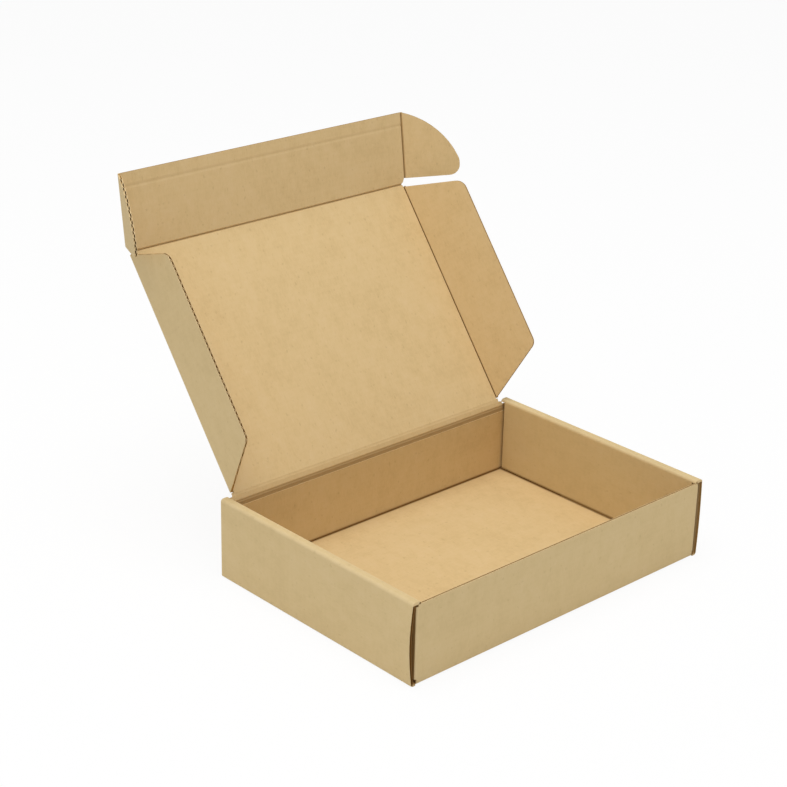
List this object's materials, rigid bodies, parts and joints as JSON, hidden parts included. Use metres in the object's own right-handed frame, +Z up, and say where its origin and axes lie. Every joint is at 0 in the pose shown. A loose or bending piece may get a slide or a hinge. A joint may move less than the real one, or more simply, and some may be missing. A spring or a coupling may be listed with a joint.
{
  "type": "folding mailer box",
  "caption": "Shallow corrugated board tray with rolled side walls and a hinged lid that shuts with folding side wings and an eared tuck flap.",
  "frame": {"origin": "middle of the base, on the surface the box stands on", "axes": "+X to the right along the lid's creases, +Y from the front wall to the back wall, +Z up"},
  "size_m": [0.2383, 0.2356, 0.1963],
  "materials": {
    "kraft_board": "matt brown kraft liner"
  },
  "bodies": {
    "tray": {"tray": "kraft_board"},
    "lid_strip": {"lid_strip": "kraft_board"},
    "lid": {"lid_panel": "kraft_board"},
    "tuck": {"tuck_flap": "kraft_board"},
    "left_wing": {"left_wing": "kraft_board"},
    "right_wing": {"right_wing": "kraft_board"},
    "left_ear": {"left_ear": "kraft_board"},
    "right_ear": {"right_ear": "kraft_board"}
  },
  "joints": [
    {"name": "lower_lid_crease", "type": "hinge", "parent": "tray", "child": "lid_strip", "pos_m": [0, 0.0715, 0.0412], "axis": [-1, 0, 0], "range_deg": [-64, 25]},
    {"name": "upper_lid_crease", "type": "hinge", "parent": "lid_strip", "child": "lid", "pos_m": [0, 0.07274, 0.04479], "axis": [-1, 0, 0], "range_deg": [-63.6, 27.4]},
    {"name": "tuck_crease", "type": "hinge", "parent": "lid", "child": "tuck", "pos_m": [0, 0.15725, 0.15454], "axis": [-1, 0, 0], "range_deg": [-66.7, 30.3]},
    {"name": "left_wing_crease", "type": "hinge", "parent": "lid", "child": "left_wing", "pos_m": [-0.09725, 0.07274, 0.04479], "axis": [0, -0.6101, -0.7923], "range_deg": [-9.5, 84.5]},
    {"name": "right_wing_crease", "type": "hinge", "parent": "lid", "child": "right_wing", "pos_m": [0.09725, 0.07274, 0.04479], "axis": [0, 0.6101, 0.7923], "range_deg": [-23.5, 70.5]},
    {"name": "left_ear_crease", "type": "hinge", "parent": "tuck", "child": "left_ear", "pos_m": [-0.099, 0.15725, 0.15454], "axis": [0, -0.1271, -0.9919], "range_deg": [-26, 64]},
    {"name": "right_ear_crease", "type": "hinge", "parent": "tuck", "child": "right_ear", "pos_m": [0.099, 0.15725, 0.15454], "axis": [0, 0.1271, 0.9919], "range_deg": [-49, 41]}
  ]
}
